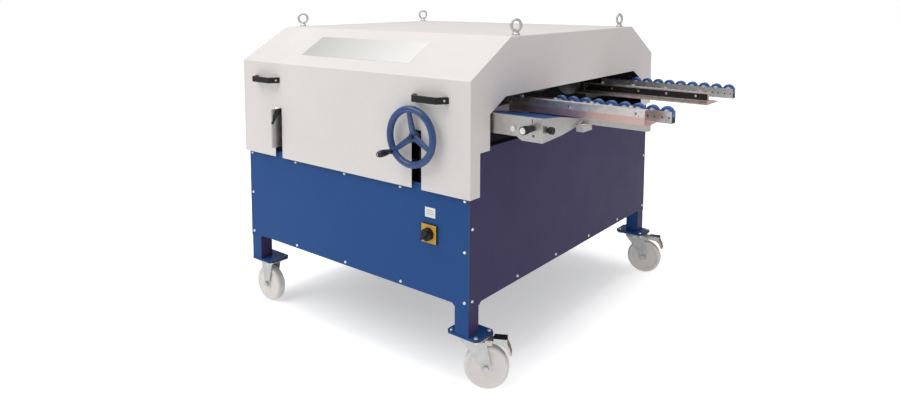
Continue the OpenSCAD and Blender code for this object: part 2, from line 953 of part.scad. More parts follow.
// Geared motor on the bed between the cross beams, in front of the near stand
module gear_motor() {
    mid = (beam_x[0] + beam_x[1] + tube_w) / 2;
    color("darkslategray") {
        bar([mid - 60, 150, bed_z - 180], [mid + 60, 290, bed_z - 10 - joint_gap]);
        x_rod([mid + 60 + joint_gap, 220, bed_z - 100], 70, 190);
        x_rod([mid + 250 + 2 * joint_gap, 220, bed_z - 100], 74, 40);
        bar([beam_x[0] + tube_w, 130, bed_z - 10], [beam_x[1], 310, bed_z]);
        y_rod([mid, 290 + joint_gap, bed_z - 60], 15, 30);
    }
}

/* ---- infeed guides ---- */

function near_skate_x(i) = hood_l + near_start + i * skate_pitch;
function far_skate_x(i) = hood_l + far_start + i * skate_pitch;

// U-shaped rail with a cross axle for each wheel and a row of spare holes in its walls
module skate_rail(first_x, y) {
    last = first_x + (skate_n - 1) * skate_pitch;
    difference() {
        bar([rail_x0, y - rail_w / 2, rail_z0], [last + rail_over, y + rail_w / 2, rail_top]);
        bar([rail_x0 - 1, y - rail_in / 2, rail_z0 + rail_wall],
            [last + rail_over + 1, y + rail_in / 2, rail_top + 1]);
        for (i = [0:skate_n - 1])
            for (s = [-1, 1])
                y_rod([first_x + i * skate_pitch + s * 12, y - rail_w, rail_z0 + 20], 3, 2 * rail_w);
    }
    for (i = [0:skate_n - 1])
        y_rod([first_x + i * skate_pitch, y - rail_w / 2 - 2, skate_z], skate_axle_r, rail_w + 4);
}

module skate_wheel(x, y) {
    r = skate_d / 2;
    a = skate_w / 2;
    color("royalblue")
        translate([x, y, skate_z])
            rotate([90, 0, 0])
                rotate_extrude($fn = 40)
                    polygon([
                        [skate_axle_r + run_gap, -a - 1.5], [9, -a - 1.5], [10, 5 - a], [r - 7, 5 - a],
                        [r - 6, -a], [r - 2, -a], [r, 2 - a], [r, a - 2], [r - 2, a], [r - 6, a],
                        [r - 7, a - 5], [10, a - 5], [9, a + 1.5], [skate_axle_r + run_gap, a + 1.5]
                    ]);
}

module near_guide_rail() {
    low_z = rail_z0 - joint_gap;
    color("silver") {
        skate_rail(near_skate_x(0), near_rail_y);
        bar([rail_x0, near_stand_y + stand_t, rail_z0 - 25], [rail_x0 + 40, near_rail_y + rail_w / 2, low_z]);
        bar([stand_x1 - 40, near_stand_y + stand_t, rail_z0 - 25],
            [rail_x0 - joint_gap, near_stand_y + stand_t + 30, low_z]);
    }
}

module far_guide_rail() {
    color("silver")
        skate_rail(far_skate_x(0), far_rail_y);
}

module guide_nuts(y, z) {
    for (i = [0:3])
        translate([guide_x0 + 85 + i * nut_pitch, y, z])
            rotate([0, 0, 15])
                hex_head(13, 8);
}

module near_guide_plate() {
    y0 = near_guide_y;
    y1 = near_rail_y - rail_w / 2 - 3;
    color("silver") {
        difference() {
            union() {
                bar([guide_x0, y0, guide_z], [near_guide_x1, y0 + guide_t, near_guide_top]);
                bar([guide_x0, y0, near_guide_top - guide_t], [near_guide_x1, y0 + 30, near_guide_top]);
                bar([guide_x0, y0, guide_z], [near_guide_x1, y1, guide_z + guide_t]);
                translate([near_guide_x1 - eps, 0, guide_z])
                    linear_extrude(guide_t)
                        polygon([[0, y0 + 2], [16, y0 + 10], [8, y1], [0, y1]]);
            }
            for (i = [0:2])
                bar([guide_x0 + 34 + i * guide_slot_pitch, y0 - 1, guide_slot_z],
                    [guide_x0 + 41 + i * guide_slot_pitch, y0 + guide_t + 1, guide_slot_z + 16]);
        }
        for (i = [0:2])
            y_rod([guide_x0 + 43 + i * guide_slot_pitch, y0 - 4, guide_slot_z + 2], 6, 4);
        guide_nuts(y0 + 15, near_guide_top);
    }
}

module far_guide_plate() {
    y0 = far_guide_y;
    face_x1 = far_guide_x1 - 26;
    color("silver") {
        bar([guide_x0, y0, rail_z0], [far_guide_x1, far_face_y + 50, rail_z0 + guide_t]);
        bar([guide_x0, far_face_y, rail_z0 + guide_t], [face_x1, far_face_y + 10, far_guide_top - guide_t]);
        bar([guide_x0, far_face_y, far_guide_top - guide_t], [face_x1, far_face_y + 32, far_guide_top]);
        for (i = [0:4])
            y_rod([hood_l - 8 + i * 125 - 125, far_face_y - 3, rail_z0 + 21], 5, 3);
        guide_nuts(far_face_y + 18, far_guide_top);
    }
}

// Box bracket through the end opening, with its gusset, sloping cover and the bar under the near guide
module guide_bracket() {
    x1 = bracket_x1;
    y0 = bracket_y;
    color("gainsboro") {
        translate([0, y0 + bracket_t, 0])
            rotate([90, 0, 0])
                linear_extrude(bracket_t)
                    polygon([
                        [x1 - bracket_l, bracket_low], [x1 - 100, bracket_low], [x1 - 80, bracket_foot],
                        [x1, bracket_foot], [x1, bracket_top], [x1 - bracket_l, bracket_top]
                    ]);
        translate([x1 - bracket_t, 0, 0])
            rotate([90, 0, 90])
                linear_extrude(bracket_t)
                    polygon([
                        [y0 + bracket_t, bracket_foot], [y0 + 128, bracket_foot + 8],
                        [near_guide_y, guide_z - bar_h], [near_guide_y, guide_z - 1],
                        [y0 + 128, bracket_top - 11], [y0 + bracket_t, bracket_top]
                    ]);
        translate([x1 - bracket_l, 0, 0])
            rotate([90, 0, 90])
                linear_extrude(bracket_l - bracket_t)
                    polygon([
                        [y0 + bracket_t, bracket_top - 7], [y0 + 128, bracket_top - 18],
                        [near_guide_y - 5, guide_z - 5], [near_guide_y - 5, guide_z - 3],
                        [y0 + 128, bracket_top - 16], [y0 + bracket_t, bracket_top - 5]
                    ]);
        bar([x1 - bracket_l, y0 + bracket_t, bracket_low], [x1 - bracket_l + 8, near_stand_y, bracket_top]);
        bar([stand_x1 - 40, near_stand_y - 8, bracket_low], [x1 - bracket_l, near_stand_y, bracket_top]);
        bar([x1 - bracket_t, near_guide_y, guide_z - bar_h],
            [near_guide_x1 + 14, near_guide_y + bar_w, guide_z]);
        bar([x1, near_guide_y - 45, guide_z - 42], [x1 + 28, near_guide_y + bar_w, guide_z - bar_h]);
        translate([x1 - 113, y0, bracket_top - 45])
            rotate([90, 0, 0])
                hex_head(19, 8);
    }
}

knob_at = [bracket_x1 - 39, bracket_y, bracket_top - 36];

module dial_knob() {
    color("black") {
        y_rod(knob_at - [0, 62, 0], 12.5, 56);
        y_rod(knob_at - [0, 6 + eps, 0], 8, 6 - clear);
    }
}

side_knob_at = [bracket_x1, bracket_y + 34, bracket_top - 43];

module side_knob() {
    color("black") {
        x_rod(side_knob_at + [clear, 0, 0], 8, 6);
        translate(side_knob_at + [6, 0, 0])
            rotate([0, 90, 0])
                cylinder(r = 13, h = 16, $fn = 6);
    }
}

/* ---- roll clamp in the left slot ---- */

clamp_x = slot_inset - 6;
clamp_y = -33;
clamp_t = 8;
clamp_z0 = front_panel_top + 25;
clamp_z1 = slot_z - 4;
lever_at = [clamp_x + clamp_t + clear, -10, clamp_z1 - 12];

module clamp_plate() {
    color("silver")
        difference() {
            translate([clamp_x, 0, 0])
                rotate([90, 0, 90])
                    linear_extrude(clamp_t)
                        polygon([
                            [clamp_y, clamp_z0], [near_stand_y, clamp_z0],
                            [near_stand_y, clamp_z1 - 28], [near_stand_y - 40, clamp_z1 - 28],
                            [near_stand_y - 60, clamp_z1], [clamp_y, clamp_z1]
                        ]);
            x_rod([clamp_x - 1, lever_at[1], lever_at[2]], 4 + run_gap, 12);
        }
}

module clamp_lever() {
    color("black") {
        x_rod(lever_at - [12, 0, 0], 4, 14);
        x_rod(lever_at, 9, 14);
        translate(lever_at + [7, 0, 0])
            rotate([148, 0, 0])
                cylinder(r1 = 6, r2 = 5, h = 57);
        translate(lever_at + [16, 10, 0])
            rotate([0, 90, 0])
                rotate_extrude()
                    translate([10, 0])
                        circle(r = 1.6, $fn = 16);
        x_rod(lever_at + [13, 0, 0], 3, 4.5);
    }
}

/* ---- nodes ---- */

place() base_frame();
place() front_panel();
place() rear_panel();
place() end_panels();
place() fasteners();
place() fixed_caster_forks();
place() swivel_caster_heads();
place() swivel_fork_front();
place() swivel_fork_rear();
place() brake_pedal_front();
place() brake_pedal_rear();
place() caster_wheel_front_left();
place() caster_wheel_rear_left();
place() caster_wheel_front_right();
place() caster_wheel_rear_right();
place() main_switch();
place() switch_knob();
place() hood_shell();
place() hood_handles();
place() lifting_eyes();
place() name_plate();
place() hinge_straps();
place() hinge_leaves();
place() handwheel();
place() handwheel_grip();
place() lead_screw();
place() screw_bearings();
place() near_roll_stand();
place() near_rolls();
place() far_roll_stand();
place() far_rolls();
place() guide_rods();
place() gear_motor();
place() near_guide_plate();
place() near_guide_rail();
place() guide_bracket();
place() dial_knob();
place() side_knob();
place() far_guide_plate();
place() far_guide_rail();
place() clamp_plate();
place() clamp_lever();
for (i = [1:skate_n]) {
    place() skate_wheel(near_skate_x(i - 1), near_rail_y);
    place() skate_wheel(far_skate_x(i - 1), far_rail_y);
}
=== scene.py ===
import json
import math

import bmesh
import bpy
import numpy as np
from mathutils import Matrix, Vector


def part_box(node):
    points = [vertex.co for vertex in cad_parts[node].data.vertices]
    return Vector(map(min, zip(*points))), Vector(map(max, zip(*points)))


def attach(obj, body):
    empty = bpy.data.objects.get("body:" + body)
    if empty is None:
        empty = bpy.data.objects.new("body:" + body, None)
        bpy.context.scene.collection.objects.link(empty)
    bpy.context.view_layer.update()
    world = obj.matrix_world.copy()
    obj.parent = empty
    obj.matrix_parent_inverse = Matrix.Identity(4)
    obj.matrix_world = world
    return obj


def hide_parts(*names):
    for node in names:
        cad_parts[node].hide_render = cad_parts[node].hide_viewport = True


print("frame: loading the packed model")
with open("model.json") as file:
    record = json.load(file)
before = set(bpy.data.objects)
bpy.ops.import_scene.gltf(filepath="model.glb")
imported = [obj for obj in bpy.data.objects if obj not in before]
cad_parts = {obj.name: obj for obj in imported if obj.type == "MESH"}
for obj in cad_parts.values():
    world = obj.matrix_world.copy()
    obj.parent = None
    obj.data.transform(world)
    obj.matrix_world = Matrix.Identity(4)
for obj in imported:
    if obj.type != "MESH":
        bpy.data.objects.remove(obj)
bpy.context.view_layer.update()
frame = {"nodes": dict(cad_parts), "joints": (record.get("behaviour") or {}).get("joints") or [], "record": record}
nodes = frame["nodes"]
slotOf = {s["node"]: s["material_slot"] for s in frame["record"]["subparts"]}
bodyOf = {n: b for b, ns in frame["record"]["behaviour"]["bodies"].items() for n in ns}

hoodLow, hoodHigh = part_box("hood_shell")
x0, y0 = hoodLow.x, hoodLow.y  # the hood's front left corner: sizes below count from it, in metres


def newMaterial(name):
    mat = bpy.data.materials.new(name)
    mat.use_nodes = True
    tree = mat.node_tree
    shader = tree.nodes["Principled BSDF"]
    coords = tree.nodes.new("ShaderNodeTexCoord").outputs["Object"]
    return mat, tree, shader, coords


def noise(tree, coords, scale, detail=3.0, rough=0.55, stretch=None):
    # noise on the piece's own coordinates, stretched along an axis where the finish has a grain
    if stretch:
        mapping = tree.nodes.new("ShaderNodeMapping")
        mapping.inputs["Scale"].default_value = stretch
        tree.links.new(coords, mapping.inputs["Vector"])
        coords = mapping.outputs["Vector"]
    node = tree.nodes.new("ShaderNodeTexNoise")
    node.inputs["Scale"].default_value = scale
    node.inputs["Detail"].default_value = detail
    node.inputs["Roughness"].default_value = rough
    tree.links.new(coords, node.inputs["Vector"])
    return node.outputs["Fac"]


def remap(tree, value, low, high, toLow, toHigh):
    node = tree.nodes.new("ShaderNodeMapRange")
    for name, number in (("From Min", low), ("From Max", high), ("To Min", toLow), ("To Max", toHigh)):
        node.inputs[name].default_value = number
    tree.links.new(value, node.inputs["Value"])
    return node.outputs["Result"]


def blendColours(tree, factor, a, b):
    node = tree.nodes.new("ShaderNodeMix")
    node.data_type = "RGBA"
    for value, socket in ((a, node.inputs[6]), (b, node.inputs[7])):
        if isinstance(value, (tuple, list)):
            socket.default_value = (*value, 1)
        else:
            tree.links.new(value, socket)
    tree.links.new(factor, node.inputs[0])
    return node.outputs[2]


def bump(tree, shader, height, strength, distance):
    node = tree.nodes.new("ShaderNodeBump")
    node.inputs["Strength"].default_value = strength
    node.inputs["Distance"].default_value = distance
    tree.links.new(height, node.inputs["Height"])
    tree.links.new(node.outputs["Normal"], shader.inputs["Normal"])


def mathNode(tree, kind, a, b):
    node = tree.nodes.new("ShaderNodeMath")
    node.operation = kind
    for value, socket in ((a, node.inputs[0]), (b, node.inputs[1])):
        if isinstance(value, (int, float)):
            socket.default_value = value
        else:
            tree.links.new(value, socket)
    return node.outputs[0]


def shade(colour, k):
    return tuple(min(1.0, c * k) for c in colour)


def powderCoat(name, colour, roughness, wear=0.0, bare=(0.5, 0.5, 0.5), sheen=0.5):
    # sheet paint: slow drift in tone, fine orange peel, dusty patches, and chips where wear is above 0
    mat, tree, shader, coords = newMaterial(name)
    drift = noise(tree, coords, 2.3, 4)
    speck = noise(tree, coords, 160, 2)
    tone = remap(tree, drift, 0.3, 0.7, 0, 1)
    colourOut = blendColours(tree, tone, shade(colour, 0.965), shade(colour, 1.03))
    colourOut = blendColours(tree, remap(tree, speck, 0.35, 0.65, 0, 0.06), colourOut, shade(colour, 1.5))
    if wear:
        chips = remap(tree, noise(tree, coords, 95, 5, 0.7), 0.56 - 0.1 * wear, 0.62, 0, wear)
        colourOut = blendColours(tree, chips, colourOut, bare)
    tree.links.new(colourOut, shader.inputs["Base Color"])
    patches = remap(tree, noise(tree, coords, 7, 5), 0.3, 0.7, roughness - 0.05, roughness + 0.07)
    tree.links.new(patches, shader.inputs["Roughness"])
    shader.inputs["Specular IOR Level"].default_value = sheen
    bump(tree, shader, noise(tree, coords, 620, 2), 0.05, 0.0003)
    return mat


def galvanised(name, colour, tint, roughness=0.32, reflectionBand=None):
    # zinc sheet: crystal flowers with their own tone and gloss, over long rolling lines
    mat, tree, shader, coords = newMaterial(name)
    flower = tree.nodes.new("ShaderNodeTexVoronoi")
    flower.inputs["Scale"].default_value = 95
    tree.links.new(coords, flower.inputs["Vector"])
    tone = tree.nodes.new("ShaderNodeSeparateColor")
    tree.links.new(flower.outputs["Color"], tone.inputs["Color"])
    cells = tone.outputs[0]
    lines = noise(tree, coords, 60, 3, 0.6, (0.05, 1, 1))
    base = blendColours(tree, remap(tree, cells, 0, 1, 0, 1), shade(colour, 0.9), shade(colour, 1.06))
    warm = remap(tree, noise(tree, coords, 4, 3), 0.35, 0.65, 0, 0.75)
    if reflectionBand:  # below this height the sheet leans out, and the warmer, darker tone there is a painted reflection
        split = tree.nodes.new("ShaderNodeSeparateXYZ")
        tree.links.new(coords, split.inputs["Vector"])
        warm = remap(tree, split.outputs["Z"], reflectionBand - 0.002, reflectionBand + 0.002, 0.95, 0.1)
    base = blendColours(tree, warm, base, tint)
    tree.links.new(base, shader.inputs["Base Color"])
    shader.inputs["Metallic"].default_value = 0.85
    glossOfCells = remap(tree, cells, 0, 1, -0.05, 0.05)
    glossOfLines = remap(tree, lines, 0.3, 0.7, roughness - 0.05, roughness + 0.08)
    mixed = mathNode(tree, "ADD", glossOfCells, glossOfLines)
    tree.links.new(mixed, shader.inputs["Roughness"])
    bump(tree, shader, lines, 0.06, 0.0004)
    return mat


def brightZinc(name, colour=(0.62, 0.62, 0.61), roughness=0.3, metallic=0.9, scale=300):
    # plated steel: cloudy tone, fine scratches and small dull spots
    mat, tree, shader, coords = newMaterial(name)
    cloud = noise(tree, coords, 35, 4)
    scratch = noise(tree, coords, scale, 4, 0.7, (1, 1, 0.12))
    base = blendColours(tree, remap(tree, cloud, 0.3, 0.7, 0, 1), shade(colour, 0.86), shade(colour, 1.08))
    tree.links.new(base, shader.inputs["Base Color"])
    shader.inputs["Metallic"].default_value = metallic
    gloss = remap(tree, scratch, 0.3, 0.7, roughness - 0.07, roughness + 0.12)
    tree.links.new(gloss, shader.inputs["Roughness"])
    bump(tree, shader, scratch, 0.08, 0.0002)
    return mat


def moulded(name, colour, roughness, grain=900, depth=0.12, mottle=0.05, coat=0.0):
    # plastic: fine texture from the mould, slightly worn and shiny in patches
    mat, tree, shader, coords = newMaterial(name)
    patch = noise(tree, coords, 26, 4)
    tone = remap(tree, patch, 0.3, 0.7, 0, 1)
    base = blendColours(tree, tone, shade(colour, 1 - mottle), shade(colour, 1 + mottle))
    dust = remap(tree, noise(tree, coords, 210, 3, 0.7), 0.55, 0.75, 0, 0.07)
    base = blendColours(tree, dust, base, tuple(0.5 * c + 0.5 * 0.35 for c in colour))
    tree.links.new(base, shader.inputs["Base Color"])
    gloss = remap(tree, patch, 0.3, 0.7, roughness - 0.07, roughness + 0.07)
    tree.links.new(gloss, shader.inputs["Roughness"])
    shader.inputs["Specular IOR Level"].default_value = 0.3
    shader.inputs["Coat Weight"].default_value = coat
    shader.inputs["Coat Roughness"].default_value = 0.08
    bump(tree, shader, noise(tree, coords, grain, 3), depth, 0.0002)
    return mat


def castPaint(name, colour, roughness=0.24):
    # enamel on a casting: soft lumps under a glossy coat
    mat, tree, shader, coords = newMaterial(name)
    drift = noise(tree, coords, 22, 4)
    base = blendColours(tree, remap(tree, drift, 0.3, 0.7, 0, 1), shade(colour, 0.88), shade(colour, 1.12))
    rubbed = remap(tree, noise(tree, coords, 120, 5, 0.7), 0.64, 0.72, 0, 0.35)
    base = blendColours(tree, rubbed, base, shade(colour, 1.9))
    tree.links.new(base, shader.inputs["Base Color"])
    gloss = remap(tree, drift, 0.3, 0.7, roughness - 0.05, roughness + 0.1)
    tree.links.new(gloss, shader.inputs["Roughness"])
    shader.inputs["Specular IOR Level"].default_value = 0.35
    shader.inputs["Coat Weight"].default_value = 0.45
    shader.inputs["Coat Roughness"].default_value = 0.07
    bump(tree, shader, noise(tree, coords, 150, 3), 0.18, 0.0006)
    return mat


print("materials: mixing paints, platings and plastics")
hoodColour = (0.735, 0.7, 0.685)
blueColour = (0.021, 0.078, 0.25)
# painted shade with a painted violet reflection, for faces turned to the infeed end, away from the key light
endShadeColour = (0.052, 0.042, 0.11)
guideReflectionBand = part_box("near_guide_plate")[0].z + 0.026  # height where the near guide's lower band, with its painted reflection, starts
finish = {
    "hoodPaint": powderCoat("hoodPaint", hoodColour, 0.46, sheen=0.35),
    # the edge coats are lighter than their faces: a painted highlight along the rounded edges, with chips of wear
    "hoodEdgeHighlightAndWear": powderCoat("hoodEdgeHighlightAndWear", shade(hoodColour, 1.08), 0.38, 0.25, (0.78, 0.77, 0.75)),
    # near-black painted shade for the insides of the hood and cabinet and for the bed's top
    "insidePaintedShade": powderCoat("insidePaintedShade", (0.05, 0.044, 0.05), 0.6, sheen=0.2),
    "cabinetPaint": powderCoat("cabinetPaint", blueColour, 0.36, sheen=0.1),
    "cabinetEdgeHighlightAndWear": powderCoat("cabinetEdgeHighlightAndWear", shade(blueColour, 1.35), 0.34, 0.4, (0.3, 0.33, 0.4)),
    "endPaintedShade": powderCoat("endPaintedShade", endShadeColour, 0.4, sheen=0.1),
    "endEdgeShadeHighlightAndWear": powderCoat("endEdgeShadeHighlightAndWear", shade(endShadeColour, 1.5), 0.36, 0.4, (0.3, 0.3, 0.36)),
    "darkSteel": brightZinc("darkSteel", (0.05, 0.05, 0.055), 0.4, 0.7),
    "galvanisedSheet": galvanised("galvanisedSheet", (0.72, 0.68, 0.66), (0.78, 0.55, 0.49)),
    "guideSheet": galvanised("guideSheet", (0.8, 0.78, 0.76), (0.74, 0.5, 0.46), 0.36, guideReflectionBand),
    "bracketSheet": galvanised("bracketSheet", (0.6, 0.59, 0.58), (0.5, 0.49, 0.48), 0.36),
    "zincPlating": brightZinc("zincPlating"),
    "machinedSteel": brightZinc("machinedSteel", (0.2, 0.2, 0.21), 0.36),
    "blackOxide": brightZinc("blackOxide", (0.035, 0.033, 0.037), 0.42, 0.6),
    "screwSteel": brightZinc("screwSteel", (0.86, 0.86, 0.85), 0.2, 0.75),
    "railMetal": brightZinc("railMetal", (0.66, 0.66, 0.67), 0.3, 0.9, 160),
    "primedCasting": castPaint("primedCasting", (0.035, 0.038, 0.042), 0.5),
    "wheelEnamel": castPaint("wheelEnamel", (0.02, 0.062, 0.2), 0.3),
    "blackPlastic": moulded("blackPlastic", (0.012, 0.012, 0.014), 0.42),
    "gripPlastic": moulded("gripPlastic", (0.012, 0.016, 0.03), 0.2, 300, 0.04, 0.05, 0.6),
    "switchYellow": moulded("switchYellow", (0.66, 0.37, 0.045), 0.35),
    "polyamide": moulded("polyamide", (0.8, 0.775, 0.74), 0.42, 240, 0.1, 0.04),
    "skateTyre": moulded("skateTyre", (0.016, 0.09, 0.32), 0.26, 400, 0.06, 0.05, 0.4),
    "skateHub": brightZinc("skateHub", (0.6, 0.68, 0.8), 0.24, 0.4),
    "tanPlastic": moulded("tanPlastic", (0.2, 0.085, 0.035), 0.4),
}


def addPiece(name, mesh, body, slot, *mats, replaces=()):
    obj = bpy.data.objects.new(name, mesh)
    bpy.context.scene.collection.objects.link(obj)
    for mat in mats:
        mesh.materials.append(finish[mat])
    if replaces:
        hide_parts(*replaces)
    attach(obj, body)
    return obj


def gridFaces(rows, cols, wrapRows, wrapCols, start=0):
    # quads between neighbouring points of a grid, joined up at its ends where it wraps
    i = np.arange(rows if wrapRows else rows - 1)
    j = np.arange(cols if wrapCols else cols - 1)
    i, j = (a.ravel() for a in np.meshgrid(i, j, indexing="ij"))
    i2, j2 = (i + 1) % rows, (j + 1) % cols
    return np.stack([i * cols + j, i * cols + j2, i2 * cols + j2, i2 * cols + j], 1) + start


def meshFrom(parts, name, sharpAngle=35):
    # parts are (points, faces, material index); faces point outwards after doubles are merged
    points, faces, index, start = [], [], [], 0
    for pts, quads, slotIndex in parts:
        pts = np.asarray(pts, float).reshape(-1, 3)
        points.append(pts)
        faces += [tuple(int(k) + start for k in q) for q in quads]
        index += [slotIndex] * len(quads)
        start += len(pts)
    mesh = bpy.data.meshes.new(name)
    mesh.from_pydata(np.concatenate(points).tolist(), [], faces)
    mesh.polygons.foreach_set("material_index", index)
    bm = bmesh.new()
    bm.from_mesh(mesh)
    bmesh.ops.remove_doubles(bm, verts=bm.verts, dist=2e-6)
    bmesh.ops.recalc_face_normals(bm, faces=bm.faces)
    bm.to_mesh(mesh)
    bm.free()
    mesh.polygons.foreach_set("use_smooth", [True] * len(mesh.polygons))
    mesh.set_sharp_from_angle(angle=math.radians(sharpAngle))
    return mesh


def turned(profile, axisPoint, axis, steps=64, slotIndex=0, closed=False):
    # surface of revolution: each profile point (distance along the axis, radius) swept round a full circle
    profile = np.asarray(profile, float)
    axis = np.asarray(axis, float) / np.linalg.norm(axis)
    side = np.cross(axis, (0, 0, 1) if abs(axis[2]) < 0.9 else (1, 0, 0))
    side /= np.linalg.norm(side)
    other = np.cross(axis, side)
    turn = np.linspace(0, 2 * np.pi, steps, endpoint=False)
    ring = np.outer(np.cos(turn), side) + np.outer(np.sin(turn), other)
    pts = np.asarray(axisPoint, float) + profile[:, None, :1] * axis + profile[:, None, 1:2] * ring[None]
    return pts.reshape(-1, 3), gridFaces(len(profile), steps, closed, True), slotIndex


def ringTube(centre, axis, radius, tube, steps=64, around=20, slotIndex=0, flat=1.0):
    # torus: a small ellipse carried round a large circle
    turn = np.linspace(0, 2 * np.pi, around, endpoint=False)
    section = np.stack([tube * flat * np.sin(turn), radius + tube * np.cos(turn)], 1)
    return turned(section, centre, axis, steps, slotIndex, True)


def rounded(profile, radius, steps=4):
    # each inner corner of a profile replaced by a short arc that leaves and meets the two sides smoothly
    profile = np.asarray(profile, float)
    out = [profile[0]]
    for before, corner, after in zip(profile[:-2], profile[1:-1], profile[2:]):
        a, b = before - corner, after - corner
        la, lb = np.linalg.norm(a), np.linalg.norm(b)
        cut = min(radius, la / 2.01, lb / 2.01)
        start, end = corner + a / la * cut, corner + b / lb * cut
        t = np.linspace(0, 1, steps + 1)[:, None]
        out += list((1 - t) ** 2 * start + 2 * t * (1 - t) * corner + t ** 2 * end)
    out.append(profile[-1])
    return np.array(out)


def swept(path, widths, depths, across, up, corners=16, power=2.6, slotIndex=0):
    # bar along a straight path: its section is a rounded box whose width and depth change on the way
    turn = np.linspace(0, 2 * np.pi, corners, endpoint=False)
    c, s = np.cos(turn), np.sin(turn)
    u = np.sign(c) * np.abs(c) ** (2 / power)
    v = np.sign(s) * np.abs(s) ** (2 / power)
    path = np.asarray(path, float)
    across, up = np.asarray(across, float), np.asarray(up, float)
    pts = path[:, None] + np.asarray(widths)[:, None, None] / 2 * u[None, :, None] * across
    pts = pts + np.asarray(depths)[:, None, None] / 2 * v[None, :, None] * up
    return pts.reshape(-1, 3), gridFaces(len(path), corners, False, True), slotIndex


def cappedBox(low, high, slotIndex=0):
    low, high = np.asarray(low, float), np.asarray(high, float)
    ring = np.array([[0, 0], [1, 0], [1, 1], [0, 1]])
    pick = np.concatenate([np.insert(ring, 2, z, axis=1) for z in (0, 1)])
    pts = low + pick * (high - low)
    quads = [(0, 3, 2, 1), (4, 5, 6, 7), (0, 1, 5, 4), (1, 2, 6, 5), (2, 3, 7, 6), (3, 0, 4, 7)]
    return pts, quads, slotIndex


def roundEdges(obj, width, segments=2, angle=30, edgeSlot=None):
    mod = obj.modifiers.new("roundedEdges", "BEVEL")
    mod.width = width
    mod.segments = segments
    mod.limit_method = "ANGLE"
    mod.angle_limit = math.radians(angle)
    mod.harden_normals = True
    if edgeSlot is not None:
        mod.material = edgeSlot
    return mod


def copyOf(node, name, width, mats, segments=2, extra=(), angle=30, paint=None, edgeSlot=None):
    # the CAD node's own shape with its flat faces joined up, so that its edges can be rounded
    # paint gives a face its material's number from its centre and normal
    mesh = bpy.data.meshes.new(name)
    bm = bmesh.new()
    bm.from_mesh(nodes[node].data)
    bmesh.ops.remove_doubles(bm, verts=bm.verts, dist=2e-6)
    bmesh.ops.dissolve_limit(bm, angle_limit=math.radians(0.4), verts=bm.verts, edges=bm.edges)
    for f in bm.faces:
        f.smooth = True
        f.material_index = paint(f.calc_center_median(), f.normal) if paint else 0
    bm.to_mesh(mesh)
    bm.free()
    mesh.set_sharp_from_angle(angle=math.radians(angle))
    obj = addPiece(name, mesh, bodyOf[node], slotOf[node], *mats, replaces=(node, *extra))
    if width:
        roundEdges(obj, width, segments, angle, edgeSlot)
    return obj


print("hood: rounding folds, fitting plate, handles and eyes")
hood = {
    "sheet": 0.0015,
    "foldRadius": 0.0028,
    "shoulder": 1.104,  # height where the front slope starts
    "slopeRun": 0.243,
    "handleRound": 0.0022,
    "handles": (0.172, 1.078),
    "eyeRing": 0.021,
    "eyeWire": 0.0058,
    "eyes": [(0.03, 0.32, 52), (0.03, 1.2, 59), (1.22, 0.32, 66), (1.22, 1.2, 83)],
}


def makeHood():
    # the folded skin: long outer folds get the bend radius of thick sheet, cut edges stay crisp
    mesh = bpy.data.meshes.new("hoodSheet")
    bm = bmesh.new()
    bm.from_mesh(nodes["hood_shell"].data)
    bmesh.ops.remove_doubles(bm, verts=bm.verts, dist=2e-6)
    bmesh.ops.dissolve_limit(bm, angle_limit=math.radians(0.4), verts=bm.verts, edges=bm.edges)
    lo, hi = np.array(hoodLow), np.array(hoodHigh)
    slope = (hi[2] - hood["shoulder"]) / hood["slopeRun"]

    def onSkin(p):
        # on the outside of the folded shape, seen from the end
        d = min(p[1] - lo[1], hi[1] - p[1])
        return d < 3e-4 or hi[2] - p[2] < 3e-4 or abs(p[2] - (hood["shoulder"] + slope * d)) < 3e-4

    folds = []
    for e in bm.edges:
        if len(e.link_faces) != 2 or e.calc_face_angle(0) < math.radians(20):
            continue
        a, b = e.verts[0].co, e.verts[1].co
        mid = (a + b) / 2
        atEnd = min(abs(mid.x - lo[0]), abs(hi[0] - mid.x)) < 3e-4
        endFace = atEnd and onSkin(mid) and onSkin(a) and onSkin(b)
        along = abs(a.x - b.x) > 0.2 and onSkin(mid) and mid.z > lo[2] + 0.01 and e.calc_length() > 1.0
        if (endFace and e.calc_length() > 0.1) or along:
            folds.append(e)
    bmesh.ops.bevel(
        bm, geom=folds, offset=hood["foldRadius"], segments=4, profile=0.5, affect="EDGES", material=1
    )
    inner = hood["sheet"] - 3e-4  # faces deeper than this under the skin are the hood's inside, which takes the near-black painted shade
    for f in bm.faces:
        f.smooth = True
        c = f.calc_center_median()
        d = min(c.y - lo[1], hi[1] - c.y)
        below = min(hi[2] - c.z, 0.87 * (hood["shoulder"] + slope * d - c.z))
        if f.material_index == 0 and min(d, below, c.x - lo[0], hi[0] - c.x) > inner:
            f.material_index = 2
    bm.to_mesh(mesh)
    bm.free()
    print("  folds rounded:", len(folds))
    mesh.set_sharp_from_angle(angle=math.radians(28))
    coats = ("hoodPaint", "hoodEdgeHighlightAndWear", "insidePaintedShade")
    obj = addPiece("hoodSheet", mesh, "hood", "hood_grey", *coats, replaces=("hood_shell",))
    obj.modifiers.new("evenShading", "WEIGHTED_NORMAL").keep_sharp = True


makeHood()
copyOf("hood_handles", "bridgeHandles", hood["handleRound"], ("blackPlastic",), 3)


